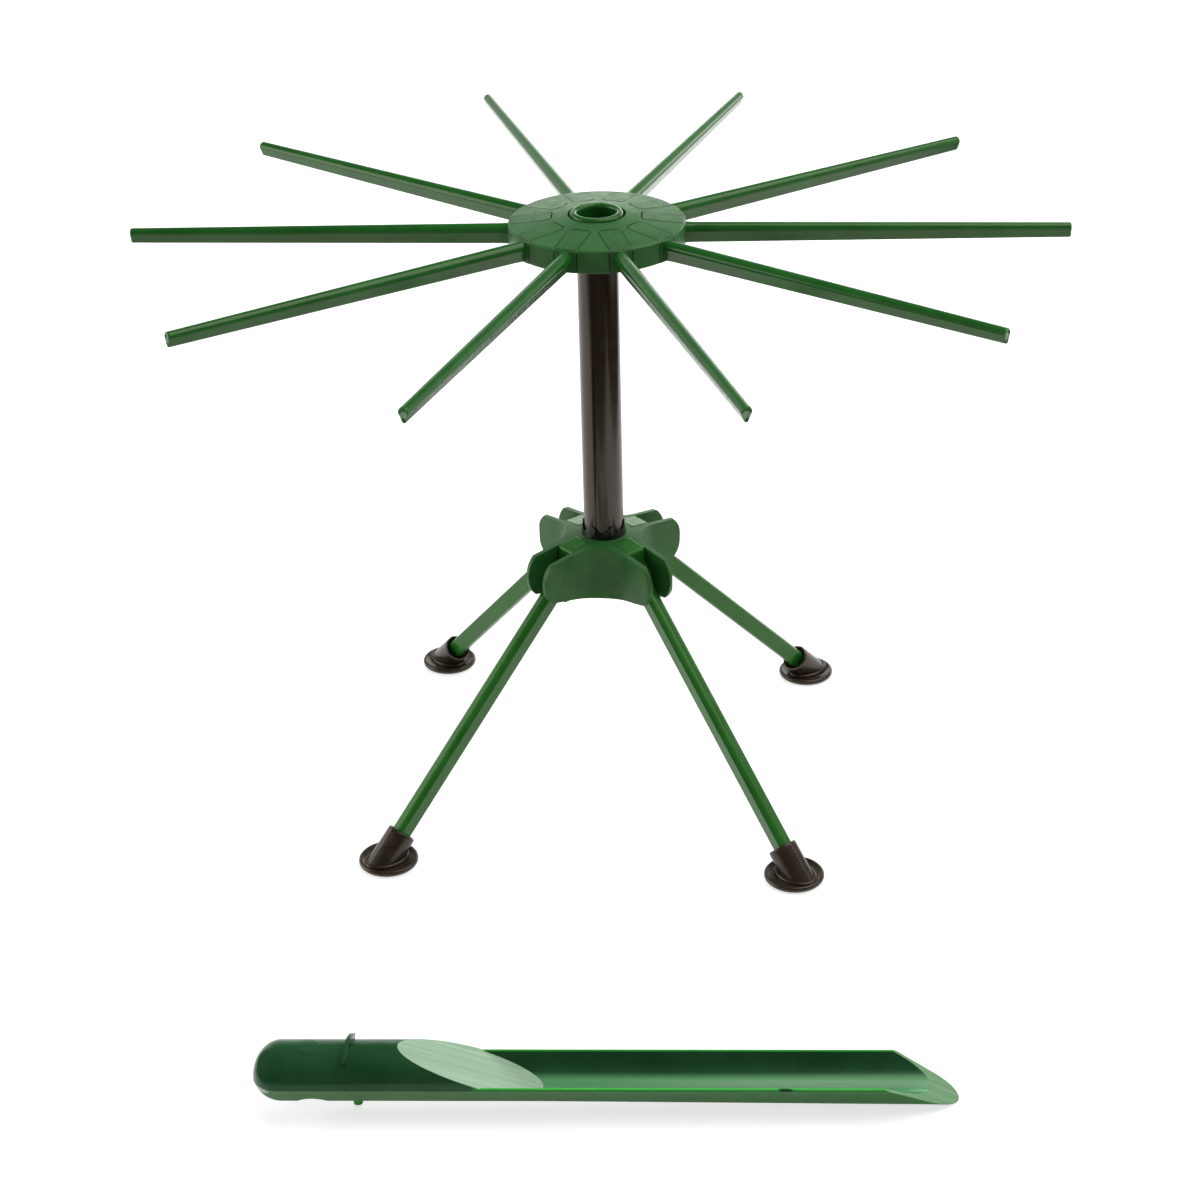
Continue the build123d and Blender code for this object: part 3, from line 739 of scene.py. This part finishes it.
# The pale tones of the cut faces are a painted reflection of the bright backdrop, and their green edge is
# painted glow.
def cut_faces(nodes, links, colour, lines):
    for facing, reflection_pales in ((RAMP_FACING, RAMP_REFLECTION_PALES), (TIP_FACING, TIP_REFLECTION_PALES)):
        pale_reflection = ramp_node(nodes, links, lines, *zip(LINE_STOPS, reflection_pales))
        patches = noise_node(nodes, links, MOTTLE_SIZE, MOTTLE_DETAIL)
        mottle = spread_node(nodes, links, patches, 0.0, MOTTLE_SHARE)
        pale_reflection = mix_node(nodes, links, mottle, pale_reflection, reflection_pales[1])
        pale_reflection = mix_node(nodes, links, rim_node(nodes, links, RIM_RADIUS), pale_reflection, RIM_GLOW_FAR)
        colour = mix_node(nodes, links, facing_node(nodes, links, facing), colour, pale_reflection)
    return colour


def flaw_and_nub_glow(nodes, links, colour):
    flaw = spot_node(nodes, links, FLAW_PLACE, FLAW_STRETCH, FLAW_RADIUS)
    colour = mix_node(nodes, links, flaw, colour, FLAW_DARK)
    # The nub's bright green is a painted glow of light through it.
    nub_glow = spot_node(nodes, links, NUB_PLACE, ROUND_SPOT, NUB_RADIUS)
    return mix_node(nodes, links, nub_glow, colour, RIM_GLOW_NEAR)


print("ramp slopes", round(math.degrees(RAMP_FACING.angle(Vector((0.0, 0.0, 1.0))))), "degrees")

# %% [markdown]
# ## The wand's milky green
#
# The wand is moulded in a softer plastic than the rack. A plain shader makes it look hard, so
# a little subsurface scattering spreads the light under its skin. Its outer band is duller
# than the rest, which keeps the white table out of its reflections.

# %% Dress the wand
WAND_GREENS = (rgb(30, 72, 42), rgb(38, 82, 50))
WAND_CLOUD = 18 * MM
WAND_ROUGH = (0.17, 0.24)
WAND_ROUGH_SIZE = 6 * MM
BAND_ROUGH = 0.36
WAND_EDGE_RADIUS = 0.5 * MM
LINE_DEPTH = 0.02 * MM
LINE_STRENGTH = 0.15
WAND_SPECULAR = 0.3
WAND_TINT = (0.62, 1.0, 0.66, 1.0)
MILK_WEIGHT = 0.25
MILK_RADIUS = (0.35, 1.0, 0.45)
MILK_DEPTH = 2 * MM


def make_wand_green(name):
    material, nodes, links, shader = new_material(name)
    long_place = wand_place_node(nodes, links, LINE_STRETCH)
    lines = placed_noise_node(nodes, links, long_place, LINE_WIDTH, RICH_DETAIL)
    colour = cloud_node(nodes, links, WAND_CLOUD, RICH_DETAIL, WAND_GREENS)
    colour, band = wand_sides(nodes, links, colour)
    colour = cut_faces(nodes, links, colour, lines)
    colour = flaw_and_nub_glow(nodes, links, colour)
    rough = spread_node(nodes, links, noise_node(nodes, links, WAND_ROUGH_SIZE), *WAND_ROUGH)
    rough = math_node(nodes, links, "ADD", rough, times_node(nodes, links, band, BAND_ROUGH))
    normal = bump_node(nodes, links, lines, LINE_DEPTH, LINE_STRENGTH, edge_node(nodes, WAND_EDGE_RADIUS))
    set_surface(links, shader, colour, rough, normal, WAND_SPECULAR, WAND_TINT)
    shader.inputs["Subsurface Weight"].default_value = MILK_WEIGHT
    shader.inputs["Subsurface Radius"].default_value = MILK_RADIUS
    shader.inputs["Subsurface Scale"].default_value = MILK_DEPTH
    return material


wand_green = make_wand_green("wand_green_plastic")
for name in ("wand_body", "wand_cap"):
    dress(name, wand_green)
print("wand dressed")

# %% [markdown]
# ## Dark tube, collar, rubber and steel
#
# The column is a smoke-brown tube with a clear shine and faint lines along it, the collar at
# its foot is black, the feet are rubber, and the hidden pins and screw are plain steel. The
# hidden pieces could stay bare, but the screw shows from below, so each gets a simple finish
# from one function.

# %% Plain finishes
NO_TINT = (1.0, 1.0, 1.0, 1.0)
WARM_TINT = (1.0, 0.88, 0.76, 1.0)
PLAIN_SPECULAR = 0.5
PLAIN_ROUGH_RANGE = 0.04


def make_plain(name, colours, size, roughness, metallic=0.0, specular=PLAIN_SPECULAR, tint=NO_TINT):
    material, nodes, links, shader = new_material(name)
    links.new(cloud_node(nodes, links, size, RICH_DETAIL, colours), shader.inputs["Base Color"])
    rough = noise_node(nodes, links, size, SMOOTH_DETAIL)
    rough = spread_node(nodes, links, rough, roughness, roughness + PLAIN_ROUGH_RANGE)
    links.new(rough, shader.inputs["Roughness"])
    shader.inputs["Metallic"].default_value = metallic
    shader.inputs["Specular IOR Level"].default_value = specular
    shader.inputs["Specular Tint"].default_value = tint
    return material


COLLAR_BLACKS = (rgb(12, 11, 10), rgb(18, 16, 15))
RUBBER_BROWNS = (rgb(38, 29, 22), rgb(46, 36, 28))
INSERT_BLACKS = (rgb(22, 22, 22), rgb(30, 30, 30))
WASHER_WHITES = (rgb(214, 212, 204), rgb(226, 224, 218))
STEEL_GREYS = (rgb(150, 150, 148), rgb(172, 172, 170))
collar_black = make_plain("collar_black_plastic", COLLAR_BLACKS, size=10 * MM, roughness=0.2)
foot_rubber = make_plain("foot_rubber", RUBBER_BROWNS, size=5 * MM, roughness=0.26, specular=0.49,
                         tint=WARM_TINT)
insert_black = make_plain("insert_black_plastic", INSERT_BLACKS, size=4 * MM, roughness=0.5)
washer_white = make_plain("washer_white_plastic", WASHER_WHITES, size=4 * MM, roughness=0.4)
plain_steel = make_plain("plain_steel", STEEL_GREYS, size=1 * MM, roughness=0.3, metallic=1.0)
print("five plain finishes")

# %% The brown tube
TUBE_BROWNS = (rgb(26, 18, 12), rgb(44, 32, 24))
TUBE_STOPS = (0.40, 0.66)
TUBE_LINE_WIDTH = 1.3 * MM
TUBE_LINE_STRETCH = (1.0, 1.0, 0.01)
TUBE_ROUGH = (0.14, 0.20)
TUBE_ROUGH_SIZE = 8 * MM
TUBE_SPECULAR = 0.6


def make_tube_brown(name):
    material, nodes, links, shader = new_material(name)
    lines = noise_node(nodes, links, TUBE_LINE_WIDTH, LOW_DETAIL, TUBE_LINE_STRETCH)
    colour = ramp_node(nodes, links, lines, *zip(TUBE_STOPS, TUBE_BROWNS))
    links.new(colour, shader.inputs["Base Color"])
    rough = spread_node(nodes, links, noise_node(nodes, links, TUBE_ROUGH_SIZE), *TUBE_ROUGH)
    links.new(rough, shader.inputs["Roughness"])
    shader.inputs["Specular IOR Level"].default_value = TUBE_SPECULAR
    shader.inputs["Specular Tint"].default_value = WARM_TINT
    return material


dress("column", make_tube_brown("tube_brown_plastic"))
print("tube lines", round(TUBE_LINE_WIDTH / MM, 1), "mm wide")

# %% Dress the dark and hidden pieces
dress("column_collar", collar_black)
dress("column_plug", insert_black)
dress("hub_seat", insert_black)
dress("hub_washer", washer_white)
for name in ("column_screw", "column_washer", "arm_pins", "leg_pins"):
    dress(name, plain_steel)
for corner in corner_names:
    dress(f"foot_{corner}", foot_rubber)
print("dark and hidden pieces dressed")

# %% [markdown]
# ## Soft forms of the feet
#
# A rubber foot has no sharp corner: its disc ends in a rolled rim, its sleeve has a rounded
# lip and a low ridge on the outer side, and a bead runs round the sleeve where it meets the
# disc. Bevels on the solid part could round the corners but not add the bead and the ridge.
# So each foot is turned from outlines, like clay on a wheel, and stands for the solid part,
# whose places and radii it keeps.

# %% Outlines of the foot, radius and height in millimetres
FOOT_REACH = 140.3 * MM
SLEEVE_REACH = 143.5 * MM
SLEEVE_Z = 1.5 * MM
SLEEVE_LEAN = math.radians(-45.0)
SLEEVE_CUT_Z = 1.6 * MM
TURN_STEPS = 96
RIDGE_ANGLE = math.radians(16.0)

DISC_OUTLINE = ((0.0, 0.4), (9.6, 0.4), (11.1, 0.0), (11.9, 0.2), (13.0, 0.4), (13.9, 0.8),
                (14.4, 1.4), (14.55, 2.1), (14.45, 2.8), (14.05, 3.3), (13.5, 3.55),
                (12.9, 3.5), (12.3, 3.2), (11.8, 2.95), (11.0, 2.85), (0.0, 2.95))
SLEEVE_OUTLINE = ((7.4, -8.0), (7.3, 0.0), (7.2, 8.0), (7.15, 15.6), (7.1, 16.5), (6.9, 17.0),
                  (6.65, 17.2), (6.4, 17.1), (6.2, 16.8), (6.1, 16.2), (6.0, 14.2), (5.2, 14.0),
                  (5.15, 9.0))
print("disc", 2 * max(radius for radius, height in DISC_OUTLINE), "mm across")


# %% Turning an outline
def ridge_share(angle, ridge_angle):
    away = abs(math.remainder(angle, 2.0 * math.pi))
    return 1.0 / math.cos(max(ridge_angle - away, 0.0))


def join_rings(net, low, high):
    steps = max(len(low), len(high))
    for step in range(steps):
        after = (step + 1) % steps
        corners = (low[step % len(low)], low[after % len(low)],
                   high[after % len(high)], high[step % len(high)])
        net.faces.new(list(dict.fromkeys(corners)))


def turn_outline(net, outline, place, ridge_angle=0.0):
    rings = []
    for radius, height in outline:
        ring = []
        for step in range(TURN_STEPS if radius > 0 else 1):
            angle = 2.0 * math.pi * step / TURN_STEPS
            reach = radius * MM * ridge_share(angle, ridge_angle)
            point = Vector((reach * math.cos(angle), reach * math.sin(angle), height * MM))
            ring.append(net.verts.new(place @ point))
        rings.append(ring)
    for low, high in zip(rings, rings[1:]):
        join_rings(net, low, high)


print("ridge stands out", round((ridge_share(0.0, RIDGE_ANGLE) - 1.0) * SLEEVE_OUTLINE[1][0], 2), "mm")

# %% The sleeve and the bead
BEAD_RADIUS = 1.15 * MM
BEAD_Z = 3.1 * MM
BEAD_REACH = 7.7 * MM
BEAD_SHIFT = 0.6 * MM
BEAD_STEPS = 12


def add_sleeve(net, out):
    sleeve = bmesh.new()
    place = out @ Matrix.Translation((SLEEVE_REACH, 0.0, SLEEVE_Z)) @ Matrix.Rotation(SLEEVE_LEAN, 4, "Y")
    turn_outline(sleeve, SLEEVE_OUTLINE, place, RIDGE_ANGLE)
    everything = sleeve.verts[:] + sleeve.edges[:] + sleeve.faces[:]
    bmesh.ops.bisect_plane(sleeve, geom=everything, plane_co=(0, 0, SLEEVE_CUT_Z), plane_no=(0, 0, -1),
                           clear_outer=True)
    ready = bpy.data.meshes.new("sleeve")
    sleeve.to_mesh(ready)
    sleeve.free()
    net.from_mesh(ready)


def add_bead(net, out):
    middle = SLEEVE_REACH - (BEAD_Z - SLEEVE_Z) - BEAD_SHIFT
    rings = []
    for step in range(TURN_STEPS):
        angle = 2.0 * math.pi * step / TURN_STEPS
        outward = Vector((math.cos(angle), math.sin(angle), 0.0))
        centre = Vector((middle + BEAD_REACH * math.sqrt(2.0) * outward.x, BEAD_REACH * outward.y, BEAD_Z))
        ring = []
        for bead_step in range(BEAD_STEPS):
            lift = 2.0 * math.pi * bead_step / BEAD_STEPS
            up = Vector((0, 0, BEAD_RADIUS * math.sin(lift)))
            point = centre + outward * BEAD_RADIUS * math.cos(lift) + up
            ring.append(net.verts.new(out @ point))
        rings.append(ring)
    for ring, following in zip(rings, rings[1:] + rings[:1]):
        join_rings(net, ring, following)


print("bead", round(2 * BEAD_RADIUS / MM, 1), "mm thick")


# %% Turn the feet
def make_object(name, net, material):
    mesh = bpy.data.meshes.new(name)
    net.to_mesh(mesh)
    net.free()
    mesh.materials.append(material)
    obj = bpy.data.objects.new(name, mesh)
    scene.collection.objects.link(obj)
    return obj


def make_foot(corner, direction):
    net = bmesh.new()
    out = Matrix.Rotation(direction, 4, "Z")
    turn_outline(net, DISC_OUTLINE, out @ Matrix.Translation((FOOT_REACH, 0.0, 0.0)))
    add_sleeve(net, out)
    add_bead(net, out)
    bmesh.ops.recalc_face_normals(net, faces=net.faces[:])
    for face in net.faces:
        face.smooth = True
    foot = make_object(f"soft_foot_{corner}", net, foot_rubber)
    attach(foot, f"leg_{corner}")
    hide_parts(f"foot_{corner}")
    return foot


FIRST_CORNER = math.radians(45.0)
CORNER_STEP = math.radians(90.0)
for index, corner in enumerate(corner_names):
    foot = make_foot(corner, FIRST_CORNER + CORNER_STEP * index)
print("feet turned,", len(foot.data.polygons), "faces each")

# %% [markdown]
# ## Floor and room
#
# The photograph was taken on white. Stronger lamps could whiten a floor, but they would
# bleach the rack too. So the floor is a light grey that takes the shadows, and glows a little
# for the camera and for reflections, which lifts it to white. The room is dark above and pale
# behind the rack, and that is what the shiny arms and the tube reflect.

# %% The floor
FLOOR_SIZE = 8.0
FLOOR_GREY = (0.53, 0.53, 0.52, 1.0)
FLOOR_ROUGHNESS = 0.9
FLOOR_GLOW = 0.70
WHITE = (1.0, 1.0, 1.0, 1.0)


def make_floor_white(name):
    material, nodes, links, shader = new_material(name)
    shader.inputs["Base Color"].default_value = FLOOR_GREY
    shader.inputs["Roughness"].default_value = FLOOR_ROUGHNESS
    shader.inputs["Specular IOR Level"].default_value = 0.0
    path = add_node(nodes, "ShaderNodeLightPath").outputs
    seen = math_node(nodes, links, "MAXIMUM", path["Is Camera Ray"], path["Is Glossy Ray"])
    seen = math_node(nodes, links, "MAXIMUM", seen, path["Is Transmission Ray"])
    glow = add_node(nodes, "ShaderNodeEmission")
    glow.inputs["Color"].default_value = WHITE
    glow.inputs["Strength"].default_value = FLOOR_GLOW
    both = add_node(nodes, "ShaderNodeAddShader")
    links.new(shader.outputs[0], both.inputs[0])
    links.new(glow.outputs[0], both.inputs[1])
    mix = add_node(nodes, "ShaderNodeMixShader")
    links.new(seen, mix.inputs[0])
    links.new(shader.outputs[0], mix.inputs[1])
    links.new(both.outputs[0], mix.inputs[2])
    links.new(mix.outputs[0], nodes["Material Output"].inputs["Surface"])
    return material


floor_net = bmesh.new()
bmesh.ops.create_grid(floor_net, x_segments=1, y_segments=1, size=FLOOR_SIZE)
floor = make_object("floor", floor_net, make_floor_white("floor_white"))
print("floor", 2 * FLOOR_SIZE, "m across")

# %% The room
ROOM_DARK = 0.16
ROOM_BRIGHT = 0.90
WALL_HEIGHT = (0.62, 0.16)
WALL_BEHIND = (-0.35, 0.45)
SKYLINE = (0.20, 0.10)


def make_room():
    world = bpy.data.worlds.new("studio")
    world.use_nodes = True
    nodes, links = world.node_tree.nodes, world.node_tree.links
    background = nodes["Background"]
    parts = parts_node(nodes, links, add_node(nodes, "ShaderNodeTexCoord").outputs["Generated"])
    low = fade_node(nodes, links, parts["Z"], *WALL_HEIGHT)
    behind = fade_node(nodes, links, parts["Y"], *WALL_BEHIND)
    wall = times_node(nodes, links, low, behind)
    strength = fade_node(nodes, links, wall, 0.0, 1.0, ROOM_DARK, ROOM_BRIGHT)
    skyline = fade_node(nodes, links, parts["Z"], *SKYLINE)
    background.inputs["Color"].default_value = WHITE
    links.new(math_node(nodes, links, "MAXIMUM", strength, skyline), background.inputs["Strength"])
    scene.world = world


make_room()
print("room from", ROOM_DARK, "to", ROOM_BRIGHT)

# %% [markdown]
# ## Lamps
#
# The rack was lit by soft light from above and behind, and by a softer one from the left.
# Small lamps would give hard shadows and points of light in the gloss. Large area lamps give
# soft ones. The lamps called above and back are left out of reflections, so that they don't
# wash out the dark green, and a low strip behind draws the light lines on the wand and the
# hub.

# %% Hang the lamps
MIDDLE = (0.0, 0.0, 0.15)
BACK_AIM = (0.0, -0.1, 0.1)
WAND_AIM = (0.1, -0.27, 0.0)


def add_lamp(name, place, aim, size, power, in_gloss=True):
    data = bpy.data.lights.new(name, "AREA")
    data.shape = "RECTANGLE"
    data.size, data.size_y = size
    data.energy = power
    lamp = bpy.data.objects.new(name, data)
    lamp.location = place
    lamp.rotation_euler = (Vector(aim) - Vector(place)).to_track_quat("-Z", "Y").to_euler()
    lamp.visible_glossy = in_gloss
    scene.collection.objects.link(lamp)
    return lamp


lamps = [
    add_lamp("lamp_above", (0.0, 0.3, 1.5), MIDDLE, size=(1.4, 1.0), power=5.0, in_gloss=False),
    add_lamp("lamp_back", (0.0, 1.7, 0.75), BACK_AIM, size=(2.0, 0.8), power=24.0, in_gloss=False),
    add_lamp("lamp_left", (-1.6, -0.15, 0.6), MIDDLE, size=(1.3, 1.0), power=13.0),
    add_lamp("lamp_low", (0.3, 1.0, 0.38), WAND_AIM, size=(1.2, 0.22), power=2.0),
    add_lamp("lamp_over", (0.62, 0.0, 1.3), WAND_AIM, size=(1.2, 1.1), power=12.0),
    add_lamp("lamp_right", (1.6, 0.2, 0.6), MIDDLE, size=(0.5, 0.9), power=3.0),
    add_lamp("lamp_front", (0.2, -2.2, 0.34), MIDDLE, size=(2.2, 0.16), power=2.0),
]
print(len(lamps), "lamps,", sum(lamp.data.energy for lamp in lamps), "W")

# %% [markdown]
# ## Three black cards
#
# In the photograph the dark tube and the undersides of the arms reflect something dark,
# although the table is white. A photographer gets this with black cards that stand just
# outside the picture. Painting the pieces darker would spoil them under any other light, so
# three low cards stand here too. Only reflections see them, and they cast no shadow.

# %% Stand the cards
CARD_BLACKS = (rgb(20, 18, 17), rgb(24, 22, 20))
CARD_FOOT_Z = 1 * MM
card_black = make_plain("card_black", CARD_BLACKS, size=40 * MM, roughness=0.8)


def add_card(name, start, end, height):
    net = bmesh.new()
    low = [net.verts.new((*start, CARD_FOOT_Z)), net.verts.new((*end, CARD_FOOT_Z))]
    high = [net.verts.new((*end, height)), net.verts.new((*start, height))]
    net.faces.new(low + high)
    card = make_object(name, net, card_black)
    card.visible_camera = False
    card.visible_diffuse = False
    card.visible_shadow = False


add_card("card_front", start=(-1.0, -0.40), end=(1.0, -0.40), height=0.20)
add_card("card_right", start=(0.42, -0.40), end=(0.42, 0.45), height=0.12)
add_card("card_left", start=(-0.16, -0.37), end=(-0.205, -0.20), height=0.10)
print("cards placed")
